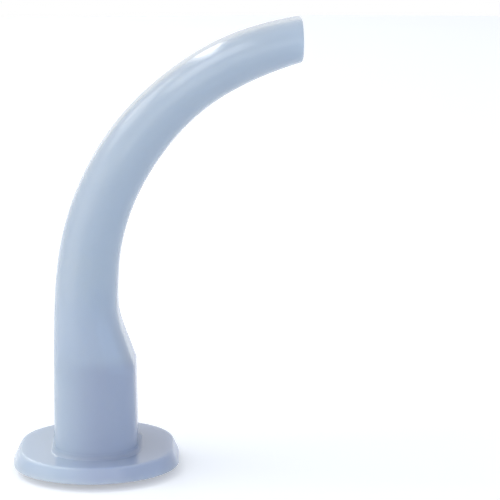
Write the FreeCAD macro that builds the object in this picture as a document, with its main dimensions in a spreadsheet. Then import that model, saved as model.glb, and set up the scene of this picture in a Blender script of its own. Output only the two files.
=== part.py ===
"""Oropharyngeal airway, 70 mm size: a curved flattened tube on an oval flange, with a bite block.

The origin is the centre of the flange's outer face. +Z runs from there along the straight part of
the tube, +X is the side that the tube curves to, and the part is symmetric about the XZ plane.
All lengths are millimetres and all angles are degrees.
"""
import FreeCAD, Part
import math
import os
import Sketcher
from FreeCAD import Placement, Rotation, Vector
from Sketcher import Constraint

DRIVING_SIZES = [
    # flange
    ("flange_thickness", 2.3),
    ("flange_side_radius", 13.1),
    ("flange_side_spread", 3.25),
    ("flange_back_radius", 43.5),
    ("flange_rim_slope", 25.0),
    ("flange_edge_round", 0.6),
    ("flange_root_round", 0.7),
    # straight base of the tube, which holds the bite block
    ("base_height", 15.6),
    ("base_depth", 13.2),
    ("base_width", 21.0),
    ("base_taper", 0.4),
    # curved tube, laid out along its back, which is its convex side
    ("straight_height", 16.0),
    ("first_bend_radius", 190.0),
    ("first_bend_angle", 3.8),
    ("main_bend_radius", 44.7),
    ("main_bend_angle", 76.0),
    ("tip_reach", 32.9),
    ("tube_depth_low", 9.8),
    ("tube_depth_middle", 8.4),
    ("tube_depth_tip", 6.7),
    ("tube_width_low", 16.8),
    ("tube_width_tip", 15.6),
    ("tube_wall", 1.5),
    ("tip_wall", 1.2),
    ("tip_round", 0.3),
    # bite block
    ("sleeve_length", 17.5),
    ("sleeve_depth", 9.5),
    ("sleeve_width", 17.5),
    ("sleeve_clearance", 0.05),
    ("bead_depth", 11.5),
    ("bead_width", 20.5),
    ("bead_height", 1.2),
    ("bead_round", 0.6),
    ("seat_sink", 0.4),
    ("seat_clearance", 0.15),
    ("mouth_depth", 5.6),
    ("mouth_width", 13.7),
    ("mouth_round", 1.8),
    ("throat_depth", 4.5),
    ("throat_width", 12.3),
    ("throat_step", 0.4),
]

# Over the slanted shoulder the section falls from the base's size to the tube's. Each entry is a
# share of the first bend and the shares of the fall in depth and in width that are done there.
SHOULDER_FALL = [(0.3, 0.47, 0.2), (0.62, 0.88, 0.45), (1, 1, 0.7)]

# The lumen has opened by this share, from the throat's size to the tube's, at the second entry.
LUMEN_OPENED = 0.6

# The back of the tube is a plumb line, two arcs and a straight run up to the plane of the tip.
BACK_LINE = "-(sizes.base_depth - sizes.base_taper) / 2"
FIRST_TURN = "sizes.first_bend_angle"
FIRST_END_ACROSS = f"({BACK_LINE} + sizes.first_bend_radius * (1 - cos({FIRST_TURN})))"
FIRST_END_HEIGHT = f"(sizes.straight_height + sizes.first_bend_radius * sin({FIRST_TURN}))"

# Edges are picked by their place, to within this distance.
TOLERANCE = 0.01


def add_sheet(doc):
    """Keep the driving sizes in one spreadsheet, a name and a value in each row."""
    sheet = doc.addObject("Spreadsheet::Sheet", "sizes")
    for row, (name, value) in enumerate(DRIVING_SIZES, start=1):
        sheet.set(f"A{row}", name)
        sheet.set(f"B{row}", str(value))
        sheet.setAlias(f"B{row}", name)
    doc.recompute()


def read_size(doc, name):
    return float(doc.getObject("sizes").get(name))


def add_body(doc, name):
    body = doc.addObject("PartDesign::Body", name)
    body.Label = name
    return body


def add_sketch(body, name, across="0", height="0", turn="0"):
    """Add a sketch whose centre is at (across, 0, height), turned about Y by the angle turn."""
    sketch = body.newObject("Sketcher::SketchObject", name)
    base_plane = next(item for item in body.Origin.OriginFeatures if item.Role == "XY_Plane")
    sketch.AttachmentSupport = (base_plane, [""])
    sketch.MapMode = "FlatFace"
    any_turn = 30
    sketch.AttachmentOffset = Placement(Vector(), Rotation(Vector(0, 1, 0), any_turn))
    sketch.setExpression("AttachmentOffset.Base.x", across)
    sketch.setExpression("AttachmentOffset.Base.z", height)
    sketch.setExpression("AttachmentOffset.Rotation.Angle", turn)
    return sketch


def bind(sketch, kind, references, start_value, expression):
    """Add a dimension to a sketch and tie it to an expression on the sheet."""
    index = sketch.addConstraint(Constraint(kind, *references, start_value))
    sketch.setExpression(f"Constraints[{index}]", expression)


def add_stadium(body, name, depth, width, **place):
    """Sketch an oval with two flats: its depth lies along the sketch's X, its width along its Y."""
    sketch = add_sketch(body, name, **place)
    radius = 4.0
    spread = 5.0
    normal = Vector(0, 0, 1)
    left_arc = Part.Circle(Vector(0, spread, 0), normal, radius)
    right_arc = Part.Circle(Vector(0, -spread, 0), normal, radius)
    sketch.addGeometry([
        Part.LineSegment(Vector(-radius, -spread, 0), Vector(-radius, spread, 0)),
        Part.ArcOfCircle(left_arc, 0, math.pi),
        Part.LineSegment(Vector(radius, spread, 0), Vector(radius, -spread, 0)),
        Part.ArcOfCircle(right_arc, math.pi, 2 * math.pi),
    ])
    sketch.addConstraint([
        Constraint("Tangent", 0, 2, 1, 2),
        Constraint("Tangent", 1, 1, 2, 1),
        Constraint("Tangent", 2, 2, 3, 2),
        Constraint("Tangent", 3, 1, 0, 1),
        Constraint("Vertical", 0),
        Constraint("Vertical", 2),
        Constraint("Symmetric", 1, 3, 3, 3, -1, 1),
    ])
    bind(sketch, "DistanceX", (0, 2, 2, 1), 2 * radius, depth)
    bind(sketch, "DistanceY", (3, 3, 1, 3), 2 * spread, f"({width}) - ({depth})")
    return sketch


def add_flange_outline(doc, body):
    """Sketch the flange: two round ends, a flat front on +X and a slightly bowed back on -X."""
    sketch = add_sketch(body, "flange_outline")
    side = read_size(doc, "flange_side_radius")
    spread = read_size(doc, "flange_side_spread")
    bow = read_size(doc, "flange_back_radius")
    bow_centre = math.sqrt((bow - side) ** 2 - spread ** 2)
    corner = math.atan2(spread, -bow_centre)
    normal = Vector(0, 0, 1)
    left_arc = Part.Circle(Vector(0, spread, 0), normal, side)
    right_arc = Part.Circle(Vector(0, -spread, 0), normal, side)
    back_arc = Part.Circle(Vector(bow_centre, 0, 0), normal, bow)
    sketch.addGeometry([
        Part.LineSegment(Vector(side, -spread, 0), Vector(side, spread, 0)),
        Part.ArcOfCircle(left_arc, 0, corner),
        Part.ArcOfCircle(back_arc, corner, 2 * math.pi - corner),
        Part.ArcOfCircle(right_arc, 2 * math.pi - corner, 2 * math.pi),
    ])
    sketch.addConstraint([
        Constraint("Tangent", 0, 2, 1, 1),
        Constraint("Tangent", 1, 2, 2, 1),
        Constraint("Tangent", 2, 2, 3, 1),
        Constraint("Tangent", 3, 2, 0, 1),
        Constraint("Symmetric", 1, 3, 3, 3, -1),
        Constraint("PointOnObject", 1, 3, -2),
        Constraint("Equal", 1, 3),
    ])
    bind(sketch, "Radius", (1,), side, "sizes.flange_side_radius")
    bind(sketch, "DistanceY", (3, 3, 1, 3), 2 * spread, "2 * sizes.flange_side_spread")
    bind(sketch, "Radius", (2,), bow, "sizes.flange_back_radius")
    return sketch


def add_pad(body, name, profile, length, toward_tip=True):
    pad = body.newObject("PartDesign::Pad", name)
    pad.Profile = profile
    pad.Reversed = not toward_tip
    pad.setExpression("Length", length)
    return pad


def add_pocket(body, name, profile, length):
    """Cut a pocket from the sketch's plane toward +Z."""
    pocket = body.newObject("PartDesign::Pocket", name)
    pocket.Profile = profile
    pocket.Reversed = True
    pocket.setExpression("Length", length)
    return pocket


def add_loft(body, kind, name, sections, ruled=False):
    loft = body.newObject(f"PartDesign::{kind}Loft", name)
    loft.Profile = sections[0]
    loft.Sections = sections[1:]
    loft.Ruled = ruled
    return loft


def add_fillet(doc, body, name, test, radius):
    """Round those edges of the body so far whose every sampled point passes the test."""
    doc.recompute()
    base = body.Tip
    edges = []
    for number, edge in enumerate(base.Shape.Edges, start=1):
        if all(test(point) for point in edge.discretize(5)):
            edges.append(f"Edge{number}")
    fillet = body.newObject("PartDesign::Fillet", name)
    fillet.Base = (base, edges)
    fillet.setExpression("Radius", radius)


def at_height(height):
    """Make a test for points that lie in one level plane."""
    return lambda point: abs(point.z - height) < TOLERANCE


def at_height_within(height, depth, width):
    """Make a test for points of one level plane inside a depth (along X) and a width (along Y)."""
    def test(point):
        level = abs(point.z - height) < TOLERANCE
        inside_depth = abs(point.x) < depth / 2 + TOLERANCE
        inside_width = abs(point.y) < width / 2 + TOLERANCE
        return level and inside_depth and inside_width
    return test


def centre_place(across, height, turn, depth):
    """Place a section by its middle, half its depth inward from the point on the back."""
    return {
        "across": f"{across} + ({depth}) / 2 * cos({turn})",
        "height": f"{height} - ({depth}) / 2 * sin({turn})",
        "turn": turn,
    }


def first_bend_point(share):
    """A point on the back, at a share of the first bend, as expressions."""
    turn = f"({share} * {FIRST_TURN})"
    across = f"{BACK_LINE} + sizes.first_bend_radius * (1 - cos({turn}))"
    height = f"sizes.straight_height + sizes.first_bend_radius * sin({turn})"
    return across, height, turn


def main_bend_point(share):
    """A point on the back, at a share of the main bend, as expressions."""
    turn = f"({FIRST_TURN} + {share} * sizes.main_bend_angle)"
    across = f"{FIRST_END_ACROSS} + sizes.main_bend_radius * (cos({FIRST_TURN}) - cos({turn}))"
    height = f"{FIRST_END_HEIGHT} + sizes.main_bend_radius * (sin({turn}) - sin({FIRST_TURN}))"
    return across, height, turn


def tip_point():
    """The end of the back: the last tangent carried to the plane of the tip."""
    end_across, end_height, turn = main_bend_point(1)
    height = f"{end_height} + (sizes.tip_reach - ({end_across})) / tan({turn})"
    return "sizes.tip_reach", height, "90"


def between(start, end, share):
    return f"({start} + {share} * ({end} - {start}))"


def tube_stations():
    """List the sections of the tube above its base: point on the back, depth, width and wall.

    The depth falls from the base over the slanted shoulder on the concave side, and then slowly
    along the bend. The width falls more gently, and reaches the tube's own line after the
    shoulder. The share of a station in its bend also sets its depth, width and wall.
    """
    low_depth = "sizes.tube_depth_low"
    middle_depth = "sizes.tube_depth_middle"
    tip_depth = "sizes.tube_depth_tip"
    low_width = "sizes.tube_width_low"
    tip_width = "sizes.tube_width_tip"
    low_wall = "sizes.tube_wall"
    tip_wall = "sizes.tip_wall"
    top_depth = "(sizes.base_depth - sizes.base_taper)"
    top_width = "(sizes.base_width - sizes.base_taper)"
    stations = []
    for share, depth_fall, width_fall in SHOULDER_FALL:
        depth = between(top_depth, low_depth, depth_fall)
        width = between(top_width, low_width, width_fall)
        stations.append((first_bend_point(share), depth, width, low_wall))
    for share in (0.12, 0.3, 0.5):
        depth = between(low_depth, middle_depth, 2 * share)
        width = between(low_width, tip_width, share)
        wall = between(low_wall, tip_wall, share)
        stations.append((main_bend_point(share), depth, width, wall))
    for share in (0.75, 1):
        depth = between(middle_depth, tip_depth, 2 * (share - 0.5))
        width = between(low_width, tip_width, share)
        wall = between(low_wall, tip_wall, share)
        stations.append((main_bend_point(share), depth, width, wall))
    stations.append((tip_point(), tip_depth, tip_width, tip_wall))
    return stations


def add_flange(doc, body):
    """Pad the flange with its sloped rim and round the rim's edge on the lip side."""
    outline = add_flange_outline(doc, body)
    flange = add_pad(body, "flange", outline, "sizes.flange_thickness")
    flange.setExpression("TaperAngle", "-sizes.flange_rim_slope")
    top = read_size(doc, "flange_thickness")
    add_fillet(doc, body, "flange_rim", at_height(top), "sizes.flange_edge_round")


def add_base(doc, body):
    """Stand the tube's slightly tapered base on the flange, and round the corner between them."""
    bottom = add_stadium(body, "base_bottom", "sizes.base_depth", "sizes.base_width")
    top = add_stadium(body, "base_top", "sizes.base_depth - sizes.base_taper",
                      "sizes.base_width - sizes.base_taper", height="sizes.base_height")
    add_loft(body, "Additive", "base", [bottom, top], ruled=True)
    flange_top = read_size(doc, "flange_thickness")
    in_corner = at_height_within(flange_top, read_size(doc, "base_depth"),
                                 read_size(doc, "base_width"))
    add_fillet(doc, body, "flange_root", in_corner, "sizes.flange_root_round")
    return top


def add_tube(doc, body, base_top):
    """Loft the curved tube from the top of the base to the plane of the tip, and round its end."""
    sections = [base_top]
    for number, (point, depth, width, _) in enumerate(tube_stations(), start=1):
        place = centre_place(*point, depth)
        sections.append(add_stadium(body, f"tube_section_{number}", depth, width, **place))
    add_loft(body, "Additive", "tube", sections)
    reach = read_size(doc, "tip_reach")
    add_fillet(doc, body, "tip_edge", lambda point: abs(point.x - reach) < TOLERANCE,
               "sizes.tip_round")


def add_seat(body):
    """Sink the seat of the bite block's bead into the outer face, and bore the base for its sleeve."""
    seat = add_stadium(body, "seat_outline", "sizes.bead_depth + 2 * sizes.seat_clearance",
                       "sizes.bead_width + 2 * sizes.seat_clearance")
    add_pocket(body, "seat", seat, "sizes.seat_sink")
    bore = add_stadium(body, "bore_outline", "sizes.sleeve_depth + 2 * sizes.sleeve_clearance",
                       "sizes.sleeve_width + 2 * sizes.sleeve_clearance")
    add_pocket(body, "bore", bore, "sizes.sleeve_length + sizes.sleeve_clearance")


def add_lumen(body):
    """Open the airway from the end of the bite block to the tip, one wall inside the tube."""
    start_depth = "(sizes.throat_depth + 2 * sizes.throat_step)"
    start_width = "(sizes.throat_width + 2 * sizes.throat_step)"
    sections = [add_stadium(body, "lumen_section_0", start_depth, start_width,
                            height="sizes.sleeve_length + sizes.sleeve_clearance")]
    above_shoulder = tube_stations()[1:]
    for number, (point, depth, width, wall) in enumerate(above_shoulder, start=1):
        inner_depth = f"({depth} - 2 * {wall})"
        inner_width = f"({width} - 2 * {wall})"
        if number == 1:
            low_depth = "(sizes.tube_depth_low - 2 * sizes.tube_wall)"
            low_width = "(sizes.tube_width_low - 2 * sizes.tube_wall)"
            inner_depth = between(start_depth, low_depth, LUMEN_OPENED)
            inner_width = between(start_width, low_width, LUMEN_OPENED)
        place = centre_place(*point, depth)
        name = f"lumen_section_{number}"
        sections.append(add_stadium(body, name, inner_depth, inner_width, **place))
    add_loft(body, "Subtractive", "lumen", sections)


def build_airway_body(doc):
    """One moulding in flexible natural polyethylene: flange, base, and curved tube with its lumen."""
    body = add_body(doc, "airway_body")
    add_flange(doc, body)
    base_top = add_base(doc, body)
    add_tube(doc, body, base_top)
    add_seat(body)
    add_lumen(body)
    return body


def build_bite_block(doc):
    """A rigid sleeve pressed into the base, with a rounded bead that seats on the outer face."""
    body = add_body(doc, "bite_block")
    sleeve = add_stadium(body, "sleeve_outline", "sizes.sleeve_depth", "sizes.sleeve_width")
    add_pad(body, "sleeve", sleeve, "sizes.sleeve_length")
    bead = add_stadium(body, "bead_outline", "sizes.bead_depth", "sizes.bead_width",
                       height="sizes.seat_sink")
    add_pad(body, "bead", bead, "sizes.bead_height + sizes.seat_sink", toward_tip=False)
    crest = -read_size(doc, "bead_height")
    add_fillet(doc, body, "bead_shoulder", at_height(crest), "sizes.bead_round")
    mouth = add_stadium(body, "mouth_outline", "sizes.mouth_depth", "sizes.mouth_width",
                        height="-sizes.bead_height")
    throat = add_stadium(body, "throat_outline", "sizes.throat_depth", "sizes.throat_width",
                         height="sizes.sleeve_length")
    add_loft(body, "Subtractive", "throat", [mouth, throat], ruled=True)
    on_mouth = at_height_within(crest, read_size(doc, "mouth_depth"),
                                read_size(doc, "mouth_width"))
    add_fillet(doc, body, "mouth_lead_in", on_mouth, "sizes.mouth_round")
    return body


def check_document(doc):
    """Stop if any object failed to rebuild."""
    for item in doc.Objects:
        if "Invalid" in item.State or "Error" in item.State:
            raise RuntimeError(f"{item.Name} failed to rebuild: {item.State}")


def check_solid(body):
    """Stop if a sub-part isn't one valid solid."""
    shape = body.Shape
    if shape.isNull() or not shape.isValid() or len(shape.Solids) != 1:
        raise RuntimeError(f"{body.Label} is not one valid solid")


def main():
    doc = FreeCAD.newDocument("oropharyngeal_airway")
    add_sheet(doc)
    bodies = [build_airway_body(doc), build_bite_block(doc)]
    doc.recompute()
    check_document(doc)
    os.makedirs("parts", exist_ok=True)
    for body in bodies:
        check_solid(body)
        body.Shape.exportStep(f"parts/{body.Label}.step")
        print(body.Label, round(body.Shape.Volume, 1), "mm3", body.Shape.BoundBox)


main()
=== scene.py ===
# %% [markdown]
# # An oral airway in soft, translucent plastic
# An oral airway keeps a sleeping patient's tongue clear of the throat. It is a flattened tube
# that curves through a quarter turn, with an oval flange that stops it at the lips. Here it
# stands on that flange, as it would on a tray. The CAD model holds its two mouldings at their
# real size, and this script gives them smooth surfaces, plastic that lets light in, and light.

# %% Load the CAD frame
# The CAD box is kept from here, because the finished model may not outgrow it.
import bpy
import numpy as np
from mathutils import Matrix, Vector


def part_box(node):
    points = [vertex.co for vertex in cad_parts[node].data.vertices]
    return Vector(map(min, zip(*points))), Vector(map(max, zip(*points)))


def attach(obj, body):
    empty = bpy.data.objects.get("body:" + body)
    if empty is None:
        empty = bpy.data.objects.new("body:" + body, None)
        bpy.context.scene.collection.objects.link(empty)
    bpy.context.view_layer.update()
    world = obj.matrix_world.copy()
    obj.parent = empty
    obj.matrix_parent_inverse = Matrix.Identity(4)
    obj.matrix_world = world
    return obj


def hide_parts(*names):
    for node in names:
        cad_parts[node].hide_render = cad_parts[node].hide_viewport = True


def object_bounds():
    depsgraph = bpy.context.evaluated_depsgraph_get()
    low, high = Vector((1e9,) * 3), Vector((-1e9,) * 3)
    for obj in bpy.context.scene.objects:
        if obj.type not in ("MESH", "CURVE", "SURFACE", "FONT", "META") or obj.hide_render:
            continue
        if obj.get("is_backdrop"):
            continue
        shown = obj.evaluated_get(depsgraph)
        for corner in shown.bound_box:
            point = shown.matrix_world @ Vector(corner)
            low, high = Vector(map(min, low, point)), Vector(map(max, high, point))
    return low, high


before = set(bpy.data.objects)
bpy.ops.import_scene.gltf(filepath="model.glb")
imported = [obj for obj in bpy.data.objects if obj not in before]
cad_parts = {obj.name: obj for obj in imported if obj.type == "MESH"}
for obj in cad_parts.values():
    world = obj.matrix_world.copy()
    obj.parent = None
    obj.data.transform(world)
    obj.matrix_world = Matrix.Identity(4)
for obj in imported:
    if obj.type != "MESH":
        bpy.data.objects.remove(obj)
cad_low, cad_high = (np.array(corner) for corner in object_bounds())
MM = 0.001
print("CAD box in mm:", [round(side / MM, 1) for side in cad_high - cad_low])

# %% [markdown]
# ## The sizes
# The tube is laid out along its back, the convex side, as a pattern maker would draw it: a
# plumb line, a very gentle arc, the main arc and a short straight run up to the plane of the
# tip. What the frame's boxes can tell is read from them, and the rest is written here in
# millimetres, so that the surfaces follow the CAD solids to within half a millimetre.

# %% Sizes of the soft moulding, in millimetres
body_high = np.array(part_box("airway_body")[1]) / MM
block_low, block_high = (np.array(corner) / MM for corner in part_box("bite_block"))

FLANGE_THICKNESS = 2.3
FLANGE_SIDE_RADIUS = 13.1
FLANGE_SIDE_SPREAD = body_high[1] - FLANGE_SIDE_RADIUS
FLANGE_BACK_RADIUS = 43.5
FLANGE_RIM_SLOPE = np.radians(25.0)
FLANGE_EDGE_ROUND = 0.6
FLANGE_FACE_ROUND = 0.12
FLANGE_ROOT_ROUND = 0.7
BASE_HEIGHT = 15.6
BASE_DEPTH = 13.2
BASE_WIDTH = 21.0
BASE_TAPER = 0.4
STRAIGHT_HEIGHT = 16.0
FIRST_BEND_RADIUS = 190.0
FIRST_BEND_TURN = np.radians(3.8)
MAIN_BEND_RADIUS = 44.7
MAIN_BEND_TURN = np.radians(76.0)
TIP_REACH = body_high[0]
TUBE_DEPTHS = {"low": 9.8, "middle": 8.4, "tip": 6.7}
TUBE_WIDTHS = {"low": 16.8, "tip": 15.6}
TUBE_WALLS = {"low": 1.5, "tip": 1.2}
# Share of the first bend, and how far depth and width have fallen there from base to tube
SHOULDER_FALL = [(0.3, 0.47, 0.2), (0.62, 0.88, 0.45), (1.0, 1.0, 0.7)]
MAIN_BEND_SHARES = (0.12, 0.3, 0.5, 0.75, 1.0)
LUMEN_OPENED = 0.6
TUBE_FLAT_SHARE = 0.55
TIP_ROUND = 0.35
TIP_INNER_ROUND = 0.25
print("tip reach", round(TIP_REACH, 2), "mm, flange width", round(2 * body_high[1], 2), "mm")

# %% Sizes of the bite block, in millimetres
SLEEVE_TOP = block_high[2]
SLEEVE_DEPTH = 9.5
SLEEVE_WIDTH = 17.5
SLEEVE_CLEARANCE = 0.05
SLEEVE_END_ROUND = 0.25
BEAD_DEPTH = 2 * block_high[0]
BEAD_WIDTH = 2 * block_high[1]
BEAD_CREST = block_low[2]
BEAD_ROUND = 0.6
SEAT_SINK = 0.4
SEAT_CLEARANCE = 0.15
MOUTH_DEPTH = 5.6
MOUTH_WIDTH = 13.7
MOUTH_ROUND = 1.8
THROAT_DEPTH = 4.5
THROAT_WIDTH = 12.3
THROAT_STEP = 0.4
BORE_TOP = SLEEVE_TOP + SLEEVE_CLEARANCE
print("bead", round(BEAD_DEPTH, 2), "by", round(BEAD_WIDTH, 2), "mm, crest at", round(BEAD_CREST, 2))

# %% [markdown]
# ## Outlines
# Every cross-section of both mouldings is an oval made of four stretches: a front, a round end,
# a back and a round end. If each stretch always has the same number of points, any two outlines
# match point for point, and a surface between them is only a blend of two arrays. An outline is
# kept as its points and their normals. Then moving it inward by an inset, as a mould's wall or a
# fillet needs, is one subtraction.

# %% Outlines as points and normals
FLAT_STEPS = 20
ARC_STEPS = 44


def stretches(front, end, back, other_end):
    """Join the four stretches of an outline into one array."""
    return np.concatenate([front, end, back, other_end])


def oval(depth, width, flat):
    """An oval with two flats: depth across the flats, width over the ends, flat along each flat.

    Each end is half an ellipse with the semi-axes b = depth / 2 and a = (width - flat) / 2. At
    the angle t its point is (b cos t, flat / 2 + a sin t), and its normal runs along
    (a cos t, b sin t).
    """
    b, a = depth / 2, (width - flat) / 2
    along = np.linspace(-flat / 2, flat / 2, FLAT_STEPS, endpoint=False)
    half_turn = np.linspace(0, np.pi, ARC_STEPS, endpoint=False)
    still = np.full(ARC_STEPS, flat / 2)
    t = stretches(0 * along, half_turn, 0 * along + np.pi, half_turn + np.pi)
    centre_y = stretches(along, still, -along, -still)
    points = np.stack([b * np.cos(t), centre_y + a * np.sin(t)], axis=1)
    normals = np.stack([a * np.cos(t), b * np.sin(t)], axis=1)
    return points, normals / np.linalg.norm(normals, axis=1, keepdims=True)


def stadium(depth, width):
    """An oval whose ends are half circles."""
    return oval(depth, width, width - depth)


def flange_oval():
    """The flange's outline: a flat front, two round ends and a slightly bowed back.

    The back is one arc round (bow_centre, 0). It touches both end arcs where the line from its
    centre through theirs meets the outline, at the normal angle called corner.
    """
    side, spread, bow = FLANGE_SIDE_RADIUS, FLANGE_SIDE_SPREAD, FLANGE_BACK_RADIUS
    bow_centre = np.sqrt((bow - side) ** 2 - spread ** 2)
    corner = np.arctan2(spread, -bow_centre)
    flat = np.linspace(-spread, spread, FLAT_STEPS, endpoint=False)
    end = np.linspace(0, corner, ARC_STEPS, endpoint=False)
    back = np.linspace(corner, 2 * np.pi - corner, FLAT_STEPS, endpoint=False)
    angle = stretches(0 * flat, end, back, end + 2 * np.pi - corner)
    centre_x = stretches(0 * flat, 0 * end, 0 * back + bow_centre, 0 * end)
    centre_y = stretches(flat, 0 * end + spread, 0 * back, 0 * end - spread)
    radius = stretches(0 * flat + side, 0 * end + side, 0 * back + bow, 0 * end + side)
    normals = np.stack([np.cos(angle), np.sin(angle)], axis=1)
    return np.stack([centre_x, centre_y], axis=1) + radius[:, None] * normals, normals


def inset_outline(outline, inset):
    """Points of an outline moved inward along its normals."""
    points, normals = outline
    return points - inset * normals


def level_ring(outline, inset, height):
    """An outline as a ring in 3-D, lying level at a height."""
    points = inset_outline(outline, inset)
    return np.column_stack([points, np.full(len(points), height)])


RING_POINTS = 2 * (FLAT_STEPS + ARC_STEPS)
print("points in each ring:", RING_POINTS)

# %% [markdown]
# ## Profiles with round corners
# A moulded edge is never sharp, because the steel it was cut in wasn't. Blender's Bevel could
# round the edges afterwards, but then every fillet depends on which edges it finds. Here each
# wall is drawn as a profile of inset and height whose corners are replaced by tangent arcs, and
# the profile is carried round the outline, as a lathe tool that follows an oval would do it.

# %% Profile with tangent arcs at its corners
def rounded_profile(points, radii, arc_steps=8):
    """Replace each inner corner of a polyline by an arc tangent to both of its sides.

    For a corner of inner half angle h, the arc starts radius / tan(h) along each side. Its
    points are the start, the end and, between them, a circle round the centre found by going
    radius / sin(h) along the bisector.
    """
    points = np.array(points, float)
    pieces = [points[:1]]
    for before, corner, after, radius in zip(points[:-2], points[1:-1], points[2:], radii):
        back = (before - corner) / np.linalg.norm(before - corner)
        ahead = (after - corner) / np.linalg.norm(after - corner)
        half = np.arccos(np.clip(back @ ahead, -1, 1)) / 2
        bisector = (back + ahead) / np.linalg.norm(back + ahead)
        centre = corner + bisector * radius / np.sin(half)
        start = corner + back * radius / np.tan(half) - centre
        end = corner + ahead * radius / np.tan(half) - centre
        side = np.sign(start[0] * end[1] - start[1] * end[0])
        turn = np.linspace(0, np.pi - 2 * half, arc_steps + 1) * side
        arc_x = start[0] * np.cos(turn) - start[1] * np.sin(turn)
        arc_y = start[0] * np.sin(turn) + start[1] * np.cos(turn)
        pieces.append(centre + np.stack([arc_x, arc_y], axis=1))
    pieces.append(points[-1:])
    return np.concatenate(pieces)


def profile_rings(outline, profile):
    """Carry a profile of (inset, height) round an outline, one ring for each of its points."""
    return [level_ring(outline, inset, height) for inset, height in profile]


def blend_rings(first, last, steps):
    """Rings on the straight lines from one ring to another, without the first and the last."""
    shares = np.linspace(0, 1, steps + 2)[1:-1]
    return [(1 - share) * first + share * last for share in shares]


square_corner = rounded_profile([(0, 5), (0, 0), (5, 0)], [1], arc_steps=2)
print("a square corner rounded by 1:", square_corner.round(2).tolist())

# %% [markdown]
# ## The tube's stations
# A curved tube could be a curve object with a bevel, but Blender's bevel keeps one shape all the
# way, and this tube changes: it is deep at the base, falls over a slanted shoulder on its inner
# side and thins toward the tip. So it is a loft. Sections stand at a few stations along the back,
# each turned square to it, and a smooth curve runs through matching points of all the sections.

# %% Points along the tube's back
BACK_LINE = -(BASE_DEPTH - BASE_TAPER) / 2


def first_bend_point(share):
    """Across, height and turn of the back at a share of the first bend.

    On an arc that leaves a plumb line, across grows by radius * (1 - cos turn) and height by
    radius * sin turn.
    """
    turn = share * FIRST_BEND_TURN
    across = BACK_LINE + FIRST_BEND_RADIUS * (1 - np.cos(turn))
    return across, STRAIGHT_HEIGHT + FIRST_BEND_RADIUS * np.sin(turn), turn


def main_bend_point(share):
    """Across, height and turn of the back at a share of the main bend, tangent to the first."""
    across, height, start = first_bend_point(1)
    turn = start + share * MAIN_BEND_TURN
    across += MAIN_BEND_RADIUS * (np.cos(start) - np.cos(turn))
    return across, height + MAIN_BEND_RADIUS * (np.sin(turn) - np.sin(start)), turn


def tip_point():
    """The end of the back, where its last tangent meets the upright plane of the tip."""
    across, height, turn = main_bend_point(1)
    return TIP_REACH, height + (TIP_REACH - across) / np.tan(turn), np.pi / 2


def between(start, end, share):
    """The value at a share of the way from start to end."""
    return start + share * (end - start)


print("top of the back at", round(tip_point()[1], 2), "mm")


# %% Stations: point on the back, depth, width, flat and wall
def tube_stations():
    """The sections above the base, as (point on the back, depth, width, flat, wall).

    The base's ends are half circles, and over the shoulder they turn into longer ellipses with
    shorter flats between them, which lets the gloss run softly over the tube's sides.
    """
    depths, widths, walls = TUBE_DEPTHS, TUBE_WIDTHS, TUBE_WALLS
    stations = []
    for share, depth_fall, width_fall in SHOULDER_FALL:
        depth = between(BASE_DEPTH - BASE_TAPER, depths["low"], depth_fall)
        width = between(BASE_WIDTH - BASE_TAPER, widths["low"], width_fall)
        flat = between(1.0, TUBE_FLAT_SHARE, depth_fall) * (width - depth)
        stations.append((first_bend_point(share), depth, width, flat, walls["low"]))
    for share in MAIN_BEND_SHARES:
        depth = np.interp(share, (0, 0.5, 1), (depths["low"], depths["middle"], depths["tip"]))
        width = between(widths["low"], widths["tip"], share)
        wall = between(walls["low"], walls["tip"], share)
        flat = TUBE_FLAT_SHARE * (width - depth)
        stations.append((main_bend_point(share), depth, width, flat, wall))
    # The straight run keeps the section at the end of the bend
    stations.append((tip_point(), *stations[-1][1:]))
    return stations


def station_ring(point, depth, outline, inset=0.0):
    """Stand an outline square to the back, its middle half a depth inward from the back.

    Turned by the angle turn about Y, the section's own X axis is (cos turn, 0, -sin turn).
    """
    across, height, turn = point
    inward, sideways = inset_outline(outline, inset).T
    inward = inward + depth / 2
    x = across + inward * np.cos(turn)
    z = height - inward * np.sin(turn)
    return np.column_stack([x, sideways, z])


print("stations above the base:", len(tube_stations()))


# %% Smooth loft through rings
def smooth_loft(rings, steps):
    """Run a natural cubic spline through matching points of the rings, steps rings to a span.

    The parameter is the mean distance from ring to ring. The second derivatives m solve the
    usual tridiagonal system: h0 m0 + 2 (h0 + h1) m1 + h1 m2 = 6 (slope1 - slope0), with m = 0 at
    both ends. All the points of the rings are solved at once, as columns.
    """
    stack = np.array(rings)
    count = len(stack)
    spans = np.linalg.norm(np.diff(stack, axis=0), axis=2).mean(axis=1)
    flat = stack.reshape(count, -1)
    slopes = np.diff(flat, axis=0) / spans[:, None]
    system = np.eye(count)
    inner = np.arange(1, count - 1)
    system[inner, inner - 1] = spans[:-1]
    system[inner, inner] = 2 * (spans[:-1] + spans[1:])
    system[inner, inner + 1] = spans[1:]
    right = np.zeros_like(flat)
    right[1:-1] = 6 * np.diff(slopes, axis=0)
    second = np.linalg.solve(system, right)
    shares = np.linspace(0, 1, steps + 1)[:-1]
    span_index = np.repeat(np.arange(count - 1), steps)
    b = np.tile(shares, count - 1)[:, None]
    a = 1 - b
    h = spans[span_index][:, None]
    bend = (a ** 3 - a) * second[span_index] + (b ** 3 - b) * second[span_index + 1]
    points = a * flat[span_index] + b * flat[span_index + 1] + bend * h ** 2 / 6
    points = np.concatenate([points, flat[-1:]])
    return list(points.reshape(-1, *stack.shape[1:]))


# %% [markdown]
# ## From rings to a closed piece
# Both mouldings are tubes, so each is a ring of rings: the outside, the tip, the inside and the
# mouth close on themselves, and no pole or seam is left. Rings go in as one numpy array, and the
# quads are worked out from the grid's indices.

# %% Build a mesh object from rings that close both ways
SMOOTH_BELOW = np.radians(32.0)


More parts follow.
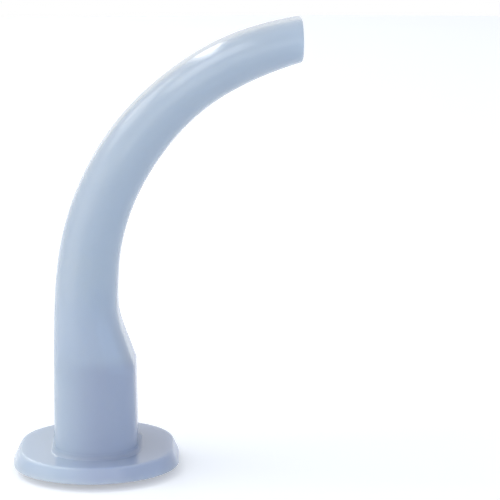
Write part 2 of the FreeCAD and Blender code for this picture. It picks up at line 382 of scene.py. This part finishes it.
def grid_quads(ring_count, ring_points):
    """Quads of a grid that closes in both directions: (i, j), (i, j+1), (i+1, j+1), (i+1, j)."""
    i, j = np.meshgrid(np.arange(ring_count), np.arange(ring_points), indexing="ij")
    next_i, next_j = (i + 1) % ring_count, (j + 1) % ring_points
    corners = [i * ring_points + j, i * ring_points + next_j,
               next_i * ring_points + next_j, next_i * ring_points + j]
    return np.stack(corners, axis=-1).reshape(-1, 4)


def signed_volume(points, quads):
    """Volume inside closed quads: the sum of a . (b x c) / 6 over their triangles."""
    a, b, c, d = (points[quads[:, k]] for k in range(4))
    return np.sum(a * (np.cross(b, c) + np.cross(c, d))) / 6


def mesh_object(name, points, quads):
    """Make a smooth-shaded mesh object, with edges sharp where faces meet at a large angle."""
    mesh = bpy.data.meshes.new(name)
    mesh.from_pydata(points.tolist(), [], quads.tolist())
    mesh.polygons.foreach_set("use_smooth", np.ones(len(quads), bool))
    mesh.set_sharp_from_angle(angle=SMOOTH_BELOW)
    mesh.update()
    piece = bpy.data.objects.new(name, mesh)
    bpy.context.scene.collection.objects.link(piece)
    return piece


def torus_piece(name, rings):
    """Close a list of rings, given in millimetres, into one piece whose faces point outwards."""
    points = np.array(rings).reshape(-1, 3) * MM
    quads = grid_quads(len(rings), RING_POINTS)
    volume = signed_volume(points, quads)
    if volume < 0:
        quads = quads[:, ::-1]
    print(name, len(quads), "quads,", round(abs(volume) / MM ** 3), "mm3")
    return mesh_object(name, points, quads)


# %% [markdown]
# ## The soft moulding
# Flange, base and tube are one shot of natural polyethylene: the steel core that forms the lumen
# swings out along the curve. The rings follow that one skin all the way: over the outer face,
# round the rim, up the base, along the tube, over the tip and back down the lumen to the seat of
# the bite block.

# %% Rings of the flange and the base
LOFT_STEPS = 16
FACE_STEPS = 10
# How far the profiles run on beside their rounds, in millimetres
FACE_RUN = 1.5
LIP_SIDE_RUN = 1.2
ROOT_RUN = 1.0
FOOT_TOP = 5.0


def seat_outline():
    """The seat in the outer face, one clearance larger all round than the bead that sits in it."""
    return stadium(BEAD_DEPTH + 2 * SEAT_CLEARANCE, BEAD_WIDTH + 2 * SEAT_CLEARANCE)


def base_top():
    """The ring at the top of the base, from which the tube rises."""
    return level_ring(stadium(BASE_DEPTH - BASE_TAPER, BASE_WIDTH - BASE_TAPER), 0, BASE_HEIGHT)


def flange_rings():
    """From the edge of the seat, over the outer face and the sloped rim, to the lip-side face."""
    rim_top = FLANGE_THICKNESS * np.tan(FLANGE_RIM_SLOPE)
    corners = [(FACE_RUN, 0), (0, 0),
               (rim_top, FLANGE_THICKNESS), (rim_top + LIP_SIDE_RUN, FLANGE_THICKNESS)]
    profile = rounded_profile(corners, [FLANGE_FACE_ROUND, FLANGE_EDGE_ROUND])
    rim = profile_rings(flange_oval(), profile)
    edge = level_ring(seat_outline(), 0, 0)
    return [edge] + blend_rings(edge, rim[0], FACE_STEPS) + rim


def base_rings():
    """From the lip-side face, round the root and up the tapered base, to just below its top."""
    lean = BASE_TAPER / 2 / BASE_HEIGHT
    root = lean * FLANGE_THICKNESS
    corners = [(root - ROOT_RUN, FLANGE_THICKNESS), (root, FLANGE_THICKNESS),
               (lean * FOOT_TOP, FOOT_TOP)]
    profile = rounded_profile(corners, [FLANGE_ROOT_ROUND])
    foot = profile_rings(stadium(BASE_DEPTH, BASE_WIDTH), profile)
    return foot + blend_rings(foot[-1], base_top(), FACE_STEPS)


flange_part = flange_rings()
base_part = base_rings()
print("rings in flange and base:", len(flange_part), len(base_part))


# %% Rings of the tube, its tip and its lumen
TIP_ROUND_STEPS = 6
TIP_FACE_STEPS = 3
TIP_INNER_STEPS = 4
BORE_STEPS = 6


def tube_rings():
    """The outer skin, from the top of the base to the ring one round short of the tip's plane."""
    sections = [base_top()]
    for point, depth, width, flat, _ in tube_stations():
        sections.append(station_ring(point, depth, oval(depth, width, flat)))
    rings = smooth_loft(sections, LOFT_STEPS)
    return [ring for ring in rings[:-1] if ring[:, 0].max() < TIP_REACH - TIP_ROUND]


def tip_rings(last_ring):
    """Round the tip's outer edge, cross its flat end and round the edge of the lumen.

    On the outer round, a ring goes sin(turn) of the way to the tip's plane while its inset
    grows to radius * (1 - cos(turn)). On the inner round both run the other way.
    """
    point, depth, width, flat, wall = tube_stations()[-1]
    outline = oval(depth, width, flat)
    end = station_ring(point, depth, outline)
    rings = []
    for turn in np.linspace(0, np.pi / 2, TIP_ROUND_STEPS + 1)[1:]:
        inset = TIP_ROUND * (1 - np.cos(turn))
        shift = station_ring(point, depth, outline, inset) - end
        rings.append(between(last_ring, end, np.sin(turn)) + shift)
    inner_edge = station_ring(point, depth, outline, wall - TIP_INNER_ROUND)
    rings += blend_rings(rings[-1], inner_edge, TIP_FACE_STEPS)
    for turn in np.linspace(0, np.pi / 2, TIP_INNER_STEPS + 1):
        inset = wall - TIP_INNER_ROUND * (1 - np.sin(turn))
        ring = station_ring(point, depth, outline, inset)
        ring[:, 0] -= TIP_INNER_ROUND * (1 - np.cos(turn))
        rings.append(ring)
    return rings


def lumen_rings():
    """The inner skin, from just inside the tip down to the end of the bite block's bore."""
    start_depth = THROAT_DEPTH + 2 * THROAT_STEP
    start_width = THROAT_WIDTH + 2 * THROAT_STEP
    sections = [level_ring(stadium(start_depth, start_width), 0, BORE_TOP)]
    for number, (point, depth, width, flat, wall) in enumerate(tube_stations()[1:]):
        inner_depth, inner_width = depth - 2 * wall, width - 2 * wall
        # At the first station over the sleeve the lumen has opened only part of the way
        if number == 0:
            inner_depth = between(start_depth, TUBE_DEPTHS["low"] - 2 * wall, LUMEN_OPENED)
            inner_width = between(start_width, TUBE_WIDTHS["low"] - 2 * wall, LUMEN_OPENED)
        flat = min(flat, inner_width - inner_depth)
        sections.append(station_ring(point, depth, oval(inner_depth, inner_width, flat)))
    rings = smooth_loft(sections, LOFT_STEPS)
    short = [ring for ring in rings if ring[:, 0].max() < TIP_REACH - TIP_INNER_ROUND]
    return short[::-1]


def seat_rings():
    """The step out to the bore, the bore's wall down to the seat, and the seat's floor and wall."""
    bore = stadium(SLEEVE_DEPTH + 2 * SLEEVE_CLEARANCE, SLEEVE_WIDTH + 2 * SLEEVE_CLEARANCE)
    top = level_ring(bore, 0, BORE_TOP)
    foot = level_ring(bore, 0, SEAT_SINK)
    seat = level_ring(seat_outline(), 0, SEAT_SINK)
    return [top] + blend_rings(top, foot, BORE_STEPS) + [foot, seat]


outer_part = tube_rings()
tip_part = tip_rings(outer_part[-1])
lumen_part = lumen_rings()
seat_part = seat_rings()
tube_parts = [outer_part, tip_part, lumen_part, seat_part]
print("rings in tube, tip, lumen and seat:", [len(part) for part in tube_parts])

# %% Close the soft moulding
lip_side = blend_rings(flange_part[-1], base_part[0], FACE_STEPS)
airway_moulding = torus_piece(
    "airway_moulding", flange_part + lip_side + base_part + sum(tube_parts, []))

# %% [markdown]
# ## The bite block
# Teeth would flatten the soft base, so a rigid sleeve is pressed into it. Its bead sits on the
# flange and leads the airway's mouth in through a broad round. It is the same kind of closed
# ring of rings, with the step between sleeve and bead resting on the seat in the flange.

# %% Rings of the bite block
# How far the profiles run on beside their rounds, in millimetres
CREST_RUN = 0.1
SLEEVE_END_RUN = 1.0
LEAD_IN_RUN = 5.0
LEAD_IN_STEPS = 16
THROAT_STEPS = 12
CREST_STEPS = 2


def bead_rings():
    """The crest, the bead's outer round and side, and the step back to the sleeve."""
    bead = stadium(BEAD_DEPTH, BEAD_WIDTH)
    corners = [(BEAD_ROUND + CREST_RUN, BEAD_CREST), (0, BEAD_CREST), (0, SEAT_SINK)]
    return profile_rings(bead, rounded_profile(corners, [BEAD_ROUND]))


def sleeve_rings():
    """The sleeve's side, its rounded far end and the flat end face round the throat."""
    sleeve = stadium(SLEEVE_DEPTH, SLEEVE_WIDTH)
    corners = [(0, SEAT_SINK), (0, SLEEVE_TOP), (SLEEVE_END_RUN, SLEEVE_TOP)]
    return profile_rings(sleeve, rounded_profile(corners, [SLEEVE_END_ROUND]))


def bore_rings():
    """The bore, straight from the throat to the mouth, and the mouth's broad lead-in round.

    Down the bore the mouth's outline is blended toward the throat's by the share of the way to
    the sleeve's far end, which makes its walls straight lines.
    """
    mouth = stadium(MOUTH_DEPTH, MOUTH_WIDTH)
    throat = level_ring(stadium(THROAT_DEPTH, THROAT_WIDTH), 0, SLEEVE_TOP)
    lean = (MOUTH_DEPTH - THROAT_DEPTH) / 2 / (SLEEVE_TOP - BEAD_CREST)
    corners = [(lean * LEAD_IN_RUN, BEAD_CREST + LEAD_IN_RUN), (0, BEAD_CREST),
               (-MOUTH_ROUND - CREST_RUN, BEAD_CREST)]
    lead_in = profile_rings(mouth, rounded_profile(corners, [MOUTH_ROUND], LEAD_IN_STEPS)[1:])
    return [throat] + blend_rings(throat, lead_in[0], THROAT_STEPS) + lead_in


bead_part = bead_rings()
sleeve_part = sleeve_rings()
bore_part = bore_rings()
crest_part = blend_rings(bore_part[-1], bead_part[0], CREST_STEPS)
bite_insert = torus_piece("bite_insert", bead_part + sleeve_part + bore_part + crest_part)

# %% [markdown]
# ## The size number
# The mould's face plate has the size engraved in it, so thin raised lines stand on the flange's
# outer face: 7.0, the length in centimetres. Text from a font would be far too heavy for strokes
# this fine. So each stroke is a thin bead swept along a path, half sunk in the face. Read from
# below, the number runs along +X with its top to the bore.

# %% A bead swept along a path on the outer face
STROKE_RADIUS = 0.14
STROKE_SIDES = 10
STROKE_END = 0.25


def ring_strip():
    """Quads across the first ring, each from two neighbouring points to the two opposite ones."""
    i = np.arange(STROKE_SIDES // 2 - 1)
    return np.column_stack([i, i + 1, STROKE_SIDES - 2 - i, STROKE_SIDES - 1 - i])


def swept_bead(path, closed):
    """Points and quads of a round bead along a level path.

    Its points are path + radius * (cos t * side + sin t * up), and side is the path's level
    normal, from the difference of the neighbouring points. An open bead's ends shrink to a
    small ring, which is sealed by a strip of quads.
    """
    path = np.array(path, float)
    if closed:
        along = np.roll(path, -1, axis=0) - np.roll(path, 1, axis=0)
    else:
        along = np.gradient(path, axis=0)
    along /= np.linalg.norm(along, axis=1, keepdims=True)
    side = np.column_stack([-along[:, 1], along[:, 0]])
    turn = np.linspace(0, 2 * np.pi, STROKE_SIDES, endpoint=False)
    radius = np.full(len(path), STROKE_RADIUS)
    if not closed:
        radius[[0, -1]] *= STROKE_END
    sideways = (radius[:, None] * np.cos(turn))[:, :, None] * side[:, None, :]
    level = path[:, None, :] + sideways
    height = radius[:, None] * np.sin(turn)[None, :]
    points = np.concatenate([level, height[:, :, None]], axis=2).reshape(-1, 3)
    quads = grid_quads(len(path), STROKE_SIDES)
    if not closed:
        last_ring = (len(path) - 1) * STROKE_SIDES
        caps = [ring_strip()[:, ::-1], ring_strip() + last_ring]
        quads = np.concatenate([quads[:-STROKE_SIDES], *caps])
    return points, quads


# %% Strokes of the number, in millimetres on the outer face
NOUGHT_CENTRE, NOUGHT_HALF_SIZE = (2.1, 12.6), (1.02, 1.9)
POINT_CENTRE, POINT_HALF_SIZE = (-0.1, 13.6), (0.09, 0.09)
SEVEN_CORNER = (-0.35, 10.85)
SEVEN_FOOT = (-1.2, 14.45)
SEVEN_BAR_END = (-1.8, 10.7)
STROKE_STEP = 0.15


def ellipse(centre, half_size, steps):
    """Points round an ellipse, from its centre and half its size each way."""
    turn = np.linspace(0, 2 * np.pi, steps, endpoint=False)
    return np.array(centre) + np.array(half_size) * np.column_stack([np.cos(turn), np.sin(turn)])


def polyline(points, step):
    """Points every step along the straight lines between the given points."""
    pieces = []
    for start, end in zip(points[:-1], points[1:]):
        start, end = np.array(start, float), np.array(end, float)
        count = max(2, int(np.linalg.norm(end - start) / step))
        pieces.append(start + np.linspace(0, 1, count, endpoint=False)[:, None] * (end - start))
    pieces.append(np.array([points[-1]], float))
    return np.concatenate(pieces)


nought = ellipse(NOUGHT_CENTRE, NOUGHT_HALF_SIZE, steps=48)
point_mark = ellipse(POINT_CENTRE, POINT_HALF_SIZE, steps=8)
seven_stem = polyline([SEVEN_CORNER, SEVEN_FOOT], STROKE_STEP)
seven_bar = polyline([SEVEN_BAR_END, SEVEN_CORNER], STROKE_STEP)
print("stroke points:", len(nought), len(seven_stem), len(seven_bar))


# %% Join the strokes into one piece
def join_strokes(strokes):
    """Stack the strokes' points and shift each one's face indices by the points before it."""
    points, quads, count = [], [], 0
    for path, closed in strokes:
        stroke_points, stroke_quads = swept_bead(path, closed)
        points.append(stroke_points)
        quads.append(stroke_quads + count)
        count += len(stroke_points)
    return np.concatenate(points) * MM, np.concatenate(quads)


number_points, number_quads = join_strokes(
    [(nought, True), (point_mark, True), (seven_stem, False), (seven_bar, False)])
size_number = mesh_object("size_number", number_points, number_quads)
print("size number:", len(number_quads), "quads")

# %% Show the new pieces instead of the CAD nodes
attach(airway_moulding, "root")
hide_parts("airway_body")
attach(size_number, "root")
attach(bite_insert, "root")
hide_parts("bite_block")

# %% [markdown]
# ## Helpers for materials
# Colours are written as sRGB hex, the way they are read off a swatch, and turned linear once.
# One small function adds any node, sets its inputs and links them, so that a material reads as
# a list of what it is made of.

# %% Colour and node helpers
GRAIN_HEIGHT = 0.02


def linear(hex_colour):
    """Turn an sRGB hex colour into linear RGBA: straight below 0.04045, a 2.4 power above."""
    channels = np.array([int(hex_colour[i:i + 2], 16) / 255 for i in (1, 3, 5)])
    low, high = channels / 12.92, ((channels + 0.055) / 1.055) ** 2.4
    return (*np.where(channels <= 0.04045, low, high).tolist(), 1.0)


def add_node(tree, kind, settings=None, **inputs):
    """Add a node, set its properties from settings and its inputs by name or by number (in_0)."""
    node = tree.nodes.new(kind)
    for name, value in (settings or {}).items():
        setattr(node, name, value)
    for name, value in inputs.items():
        key = int(name[3:]) if name.startswith("in_") else name.replace("_", " ")
        socket = node.inputs[key]
        if isinstance(value, bpy.types.NodeSocket):
            tree.links.new(value, socket)
        else:
            socket.default_value = value
    return node


def smooth_ramp(tree, value, start, end, low, high):
    """Ease from low to high while the value goes from start to end, given in millimetres."""
    ramp = add_node(tree, "ShaderNodeMapRange", {"interpolation_type": "SMOOTHSTEP"}, Value=value,
                    From_Min=start * MM, From_Max=end * MM, To_Min=low, To_Max=high)
    return ramp.outputs["Result"]


def maths(tree, operation, first, second):
    """One step of arithmetic with two values."""
    node = add_node(tree, "ShaderNodeMath", {"operation": operation}, in_0=first, in_1=second)
    return node.outputs["Value"]


def noise(tree, place, size, detail):
    """Noise whose patches are about size millimetres across."""
    node = add_node(tree, "ShaderNodeTexNoise", Vector=place, Scale=1 / (size * MM), Detail=detail)
    return node.outputs["Fac"]


def blend(tree, share, first, second):
    """A colour at a share of the way from the first to the second."""
    mix = add_node(tree, "ShaderNodeMix", {"data_type": "RGBA"},
                   in_0=share, in_6=first, in_7=second)
    return mix.outputs[2]


def grain_relief(tree, place, size, detail, strength):
    """Normals of a shallow grain, size millimetres across."""
    bump = add_node(tree, "ShaderNodeBump", Height=noise(tree, place, size, detail),
                    Strength=strength, Distance=GRAIN_HEIGHT * MM)
    return bump.outputs["Normal"]


def new_material(name):
    """An empty material and its node tree."""
    material = bpy.data.materials.new(name)
    material.use_nodes = True
    material.node_tree.nodes.clear()
    return material, material.node_tree


print("mid grey in linear light:", round(linear("#808080")[0], 3))

# %% [markdown]
# ## The soft plastic
# Natural polyethylene is milky, because its crystals scatter light under the surface: the thin
# tube glows and shadows inside it lose their edges. Glass or thin transmission would show clean
# refraction, which this wax-like plastic never does, so the scattering is a subsurface layer. On
# top lies the plain gloss of a polished mould, slightly dulled by the soft skin.

# %% Natural polyethylene
POLYETHYLENE = "#BCCADA"
POLYETHYLENE_DEEP = "#B5C4D6"
# Painted shade: its colour, and how much of it is mixed into the plastic where the sleeve is inside
# and low on the tube
PAINTED_SHADE = "#9DA6C2"
SLEEVE_SHADE_SHARE = 0.38
LOW_SHADE_SHARE = 0.2
POLISHED = 0.17
DULL = 0.45
# Where the painted shades and the dull fillet start and end, in millimetres: the sleeve's shade from
# the sleeve's end, the shade low on the tube along Z, its fading toward the lit back along X, and
# the fillet's from the flange's lip-side face
SLEEVE_FADE = (-1.6, 0.9)
LOW_SHADE_FADE = (SLEEVE_TOP, SLEEVE_TOP + 16.0)
LIT_BACK_FADE = (-6.6, 1.0)
FILLET_TOP = (0.6, 1.1)
FILLET_FOOT = (0.005, 0.05)


def painted_shade_of_base(tree, across, height):
    """How much painted shade is mixed into the base's colour, from 0 to 1: the sleeve's shade and a
    shade low on the tube, both fading toward the lit back.
    """
    # Painted shade where the opaque sleeve inside the base keeps light from passing through the
    # milky wall; its edge is blurred over 2.5 mm
    start, end = (SLEEVE_TOP + step for step in SLEEVE_FADE)
    sleeve_shade = smooth_ramp(tree, height, start, end, SLEEVE_SHADE_SHARE, 0.0)
    # A painted shade, a little darker down the tube toward the base
    low_shade = smooth_ramp(tree, height, *LOW_SHADE_FADE, LOW_SHADE_SHARE, 0.0)
    # The painted shade fades out toward the rounded back of the base, so the side that the light
    # falls on is painted lighter
    lit_back = smooth_ramp(tree, across, *LIT_BACK_FADE, 0.0, 1.0)
    return maths(tree, "MULTIPLY", maths(tree, "ADD", sleeve_shade, low_shade), lit_back)


def gloss_of_base(tree, height):
    """Roughness: the fillet at the foot of the base shows no highlight, so it is duller there."""
    start, end = (FLANGE_THICKNESS + step for step in FILLET_TOP)
    below_top = smooth_ramp(tree, height, start, end, 1.0, 0.0)
    start, end = (FLANGE_THICKNESS + step for step in FILLET_FOOT)
    above_foot = smooth_ramp(tree, height, start, end, 0.0, 1.0)
    fillet = maths(tree, "MULTIPLY", below_top, above_foot)
    gloss = add_node(tree, "ShaderNodeMapRange", Value=fillet, To_Min=POLISHED, To_Max=DULL)
    return gloss.outputs["Result"]


def soft_polyethylene():
    """Milky moulded polyethylene, with painted shade: deeper toward the base and greyer where the
    sleeve is in it.
    """
    material, tree = new_material("natural_polyethylene_moulded")
    place = add_node(tree, "ShaderNodeTexCoord").outputs["Object"]
    parts = add_node(tree, "ShaderNodeSeparateXYZ", Vector=place).outputs
    # A faint cloudiness, as of plastic that crystallised unevenly while it cooled
    cloud = noise(tree, place, size=8, detail=2.0)
    milk = blend(tree, cloud, linear(POLYETHYLENE), linear(POLYETHYLENE_DEEP))
    # Painted shade: greyer where the sleeve is inside the base, a little darker low on the tube, and
    # fading toward the lit back
    shade = painted_shade_of_base(tree, parts["X"], parts["Z"])
    colour = blend(tree, shade, milk, linear(PAINTED_SHADE))
    # The finest grain of the surface softens the edges of reflections
    relief = grain_relief(tree, place, size=0.5, detail=3.0, strength=0.05)
    plastic = add_node(tree, "ShaderNodeBsdfPrincipled", Normal=relief, IOR=1.51,
                       Base_Color=colour, Roughness=gloss_of_base(tree, parts["Z"]),
                       Subsurface_Weight=0.85, Subsurface_Radius=(1.0, 1.05, 1.15),
                       Subsurface_Scale=3.0 * MM)
    add_node(tree, "ShaderNodeOutputMaterial", Surface=plastic.outputs["BSDF"])
    return material


polyethylene = soft_polyethylene()
airway_moulding.data.materials.append(polyethylene)
size_number.data.materials.append(polyethylene)
print("soft material nodes:", len(polyethylene.node_tree.nodes))

# %% [markdown]
# ## The hard plastic
# The bite block is an opaque, pale polypropylene with a harder gloss. It is seen directly only
# from below, where the bead and the bore are. Its colour is even but for faint flow marks, which
# the melt leaves where it runs up the sleeve, so they are drawn out along the bore.

# %% Rigid polypropylene
POLYPROPYLENE = "#C5CBD7"
POLYPROPYLENE_FLOW = "#BDC4D1"


def hard_polypropylene():
    """Opaque moulded polypropylene with a clear gloss, a trace of depth and faint flow marks."""
    material, tree = new_material("rigid_polypropylene_moulded")
    place = add_node(tree, "ShaderNodeTexCoord").outputs["Object"]
    # Flow marks some 4 mm wide and 16 mm long
    drawn_out = add_node(tree, "ShaderNodeMapping", Vector=place, Scale=(1.0, 1.0, 0.25))
    flow = noise(tree, drawn_out.outputs["Vector"], size=4, detail=1.0)
    colour = blend(tree, flow, linear(POLYPROPYLENE), linear(POLYPROPYLENE_FLOW))
    # The fine grain of an eroded mould
    relief = grain_relief(tree, place, size=0.3, detail=2.0, strength=0.06)
    plastic = add_node(tree, "ShaderNodeBsdfPrincipled", Normal=relief, IOR=1.49, Roughness=0.22,
                       Base_Color=colour, Subsurface_Weight=0.15,
                       Subsurface_Radius=(1.0, 1.0, 1.0), Subsurface_Scale=0.5 * MM)
    add_node(tree, "ShaderNodeOutputMaterial", Surface=plastic.outputs["BSDF"])
    return material


bite_insert.data.materials.append(hard_polypropylene())
print("materials:", [material.name for material in bpy.data.materials])

# %% [markdown]
# ## Floor and surroundings
# The airway stands on white paper. The paper is a wide disc under the lowest point of the bead,
# and it reflects most of the light, which brightens the plastic from below.

# %% White paper floor
FLOOR_RADIUS = 0.8
FLOOR_SIDES = 64
PAPER = "#F2F3F5"
PAPER_GLOW = 0.35
WHITE = (1.0, 1.0, 1.0, 1.0)


def seen_directly(tree):
    """1 for camera, glossy and transmission rays and 0 for the rays that carry light."""
    ray = add_node(tree, "ShaderNodeLightPath").outputs
    direct = maths(tree, "MAXIMUM", ray["Is Camera Ray"], ray["Is Glossy Ray"])
    return maths(tree, "MAXIMUM", direct, ray["Is Transmission Ray"])


def paper_floor(height):
    """A white disc at a height, lit a little from itself where it is seen directly."""
    rim = ellipse((0.0, 0.0), (FLOOR_RADIUS, FLOOR_RADIUS), FLOOR_SIDES)
    points = np.column_stack([rim, np.full(FLOOR_SIDES, height)])
    mesh = bpy.data.meshes.new("paper_floor")
    mesh.from_pydata(points.tolist(), [], [list(range(FLOOR_SIDES))])
    floor = bpy.data.objects.new("paper_floor", mesh)
    bpy.context.scene.collection.objects.link(floor)
    material, tree = new_material("white_paper")
    glow = maths(tree, "MULTIPLY", seen_directly(tree), PAPER_GLOW)
    paper = add_node(tree, "ShaderNodeBsdfPrincipled", Base_Color=linear(PAPER), Roughness=0.9,
                     Emission_Color=WHITE, Emission_Strength=glow)
    add_node(tree, "ShaderNodeOutputMaterial", Surface=paper.outputs["BSDF"])
    mesh.materials.append(material)
    return floor


paper_floor(float(cad_low[2]))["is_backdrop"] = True
print("floor at", round(float(cad_low[2]) / MM, 2), "mm")

# %% World: white to the camera, softer as a light
SKY = "#E4EEFB"
SKY_STRENGTH = 0.45


def white_surroundings():
    """Pure white for camera, glossy and transmission rays, and a dimmer blue-white as a light."""
    world = bpy.data.worlds.new("white_surroundings")
    world.use_nodes = True
    tree = world.node_tree
    tree.nodes.clear()
    lighting = add_node(tree, "ShaderNodeBackground", Color=linear(SKY), Strength=SKY_STRENGTH)
    seen = add_node(tree, "ShaderNodeBackground", Color=WHITE, Strength=1.0)
    mix = add_node(tree, "ShaderNodeMixShader", in_0=seen_directly(tree),
                   in_1=lighting.outputs["Background"], in_2=seen.outputs["Background"])
    add_node(tree, "ShaderNodeOutputWorld", Surface=mix.outputs["Shader"])
    return world


bpy.context.scene.world = white_surroundings()
print("world:", bpy.context.scene.world.name)

# %% [markdown]
# ## Lights
# The gloss tells roughly where the lights stood. The short white patch on the crest of the bend
# mirrors a narrow strip that leans behind the airway, and the soft streak below it mirrors a
# wider window behind and to the left. A skylight high on the left lightens the back of the tube
# up to the tip, and the left of the flange. The other four are large and weaker for their size,
# so that their reflections are broad and faint. More of the light comes from the left, which
# rounds the base, and a weak light from the right keeps the inner side of the bend blue.

# %% Lamps
LIT_POINT = np.array([0.01, 0.0, 0.035])


def toward(azimuth, elevation):
    """Unit vector toward an azimuth and an elevation, in degrees.

    The azimuth is 0 on the camera's side and 90 on +X.
    """
    azimuth, elevation = np.radians([azimuth, elevation])
    level = np.array([np.sin(azimuth), -np.cos(azimuth), 0.0])
    return level * np.cos(elevation) + np.array([0.0, 0.0, np.sin(elevation)])


def level_axes(back):
    """Local axes, as columns, of an object that looks along -back with its X axis level."""
    across = np.cross([0.0, 0.0, 1.0], back)
    across /= np.linalg.norm(across)
    return np.column_stack([across, np.cross(back, across), back])


def placed(place, axes):
    """The matrix of an object that stands at a place with these local axes."""
    matrix = np.eye(4)
    matrix[:3, :3] = axes
    matrix[:3, 3] = place
    return Matrix(matrix.tolist())


def lamp(name, direction, distance, size_across, size_up, power, colour, roll=0):
    """An area lamp in a direction from the airway's middle, turned to face it and then rolled."""
    data = bpy.data.lights.new(name, "AREA")
    data.shape = "RECTANGLE"
    data.size, data.size_y = size_across, size_up
    data.energy = power
    data.color = linear(colour)[:3]
    holder = bpy.data.objects.new(name, data)
    bpy.context.scene.collection.objects.link(holder)
    rolled = Matrix.Rotation(np.radians(roll), 4, "Z")
    holder.matrix_world = placed(LIT_POINT + direction * distance, level_axes(direction)) @ rolled
    return holder


# Direction, then distance, width and height in metres, power in watts and colour. The strip leans
# across the bend, so that its mirror image is wide there and short along the tube.
lamps = [
    lamp("key_soft_box", toward(-84, 42), 1.3, 1.5, 1.2, 1.4, "#FFFBF6"),
    lamp("front_soft_box", toward(-4, 29), 1.2, 1.8, 0.95, 5.2, "#FFFFFF"),
    lamp("low_left_card", toward(-76, 8), 1.2, 1.3, 0.7, 2.2, "#FFF8F0"),
    lamp("sky_fill", toward(75, 10), 1.2, 1.3, 0.42, 1.8, "#B6D6FF"),
    lamp("skylight", toward(-88, 60), 1.2, 0.75, 0.5, 2.6, "#FFFFFF"),
    lamp("window", toward(-122, 33), 1.2, 0.8, 0.34, 1.3, "#FFFFFF"),
    lamp("window_strip", toward(-156.5, 35), 1.0, 0.8, 0.065, 0.85, "#FFFFFF", roll=54),
]
print("lamps:", [holder.name for holder in lamps])

# %% [markdown]
# ## Camera
# The view is a low one with a long lens, 15 degrees above the level. The lens is not shifted.
# The camera is turned so that the middle of the flange's outer face falls on a chosen point of
# the picture.

# %% Camera
PICTURE = 500
FOCAL_PIXELS = 2541.8
DISTANCE = 0.40806
AZIMUTH, ELEVATION = 2.0, 14.996
ROLL = np.radians(-1.197)
FLANGE_AT = (97.323, 457.308)


def turn_about(axis, angle):
    """Rotation matrix by the Rodrigues formula: I + sin K + (1 - cos) K K, K the cross matrix."""
    x, y, z = axis
    cross = np.array([[0, -z, y], [z, 0, -x], [-y, x, 0]])
    return np.eye(3) + np.sin(angle) * cross + (1 - np.cos(angle)) * cross @ cross


def camera_axes():
    """The camera's place and the rows right, up and back that bring the flange to FLANGE_AT."""
    back = toward(AZIMUTH, ELEVATION)
    axes = level_axes(back).T
    across = (FLANGE_AT[0] - PICTURE / 2) / FOCAL_PIXELS
    down = (FLANGE_AT[1] - PICTURE / 2) / FOCAL_PIXELS
    sight = np.array([across, -down, -1.0])
    sight /= np.linalg.norm(sight)
    hinge = np.cross([0.0, 0.0, -1.0], sight)
    swing = np.arcsin(np.linalg.norm(hinge))
    aim = turn_about(hinge / np.linalg.norm(hinge), swing)
    return back * DISTANCE, turn_about(sight, ROLL) @ aim @ axes


def add_camera():
    """The scene's camera, with everything sharp."""
    place, axes = camera_axes()
    data = bpy.data.cameras.new("camera")
    data.sensor_width = 36.0
    data.lens = FOCAL_PIXELS / PICTURE * data.sensor_width
    data.clip_start = 0.01
    data.dof.use_dof = False
    camera = bpy.data.objects.new("camera", data)
    bpy.context.scene.collection.objects.link(camera)
    camera.matrix_world = placed(place, axes.T)
    bpy.context.scene.camera = camera
    return camera


print("lens:", round(add_camera().data.lens, 1), "mm")
bpy.context.scene.view_settings.view_transform = "Standard"
